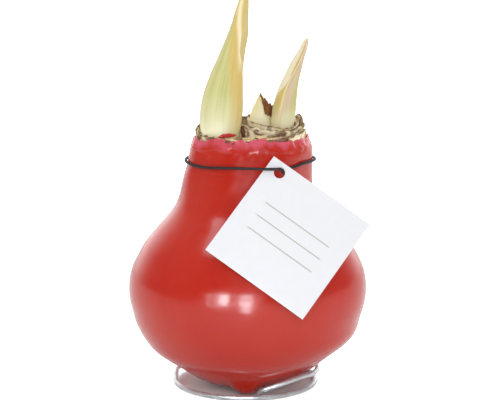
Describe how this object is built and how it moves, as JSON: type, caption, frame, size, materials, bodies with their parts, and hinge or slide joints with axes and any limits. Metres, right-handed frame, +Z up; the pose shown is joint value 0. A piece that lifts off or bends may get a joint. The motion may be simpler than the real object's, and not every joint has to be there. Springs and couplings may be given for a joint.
{
  "type": "waxed amaryllis bulb",
  "caption": "Red waxed amaryllis bulb with pointed shoots, standing on a coiled wire ring, with a cord and a plain square card tag round its neck.",
  "frame": {"origin": "on the surface that the wire stands on, under the middle of the whole object's box", "axes": "+Z up along the bulb, -Y towards the side where the tag hangs, +X to the right of a viewer who faces the tag"},
  "size_m": [0.0985, 0.1005, 0.1676],
  "materials": {
    "red_wax": "glossy candle wax with soft lumps",
    "bulb_scale": "dry papery bulb scales with brown edges",
    "green_shoot": "smooth waxy leaf skin, yellow-green to cream",
    "pale_stub": "smooth cream leaf base with a brown dry tip",
    "zinc_wire": "bright galvanised wire",
    "white_card": "smooth coated white card",
    "black_cord": "fine black elastic cord"
  },
  "bodies": {
    "root": {"wax_coat": "red_wax", "wax_smear": "red_wax", "bulb": "bulb_scale", "shoot_tall": "green_shoot", "shoot_short": "green_shoot", "leaf_stub": "pale_stub", "wire_stand": "zinc_wire", "hang_tag": "white_card", "cord_loop": "black_cord", "cord_knot": "black_cord"}
  },
  "joints": []
}
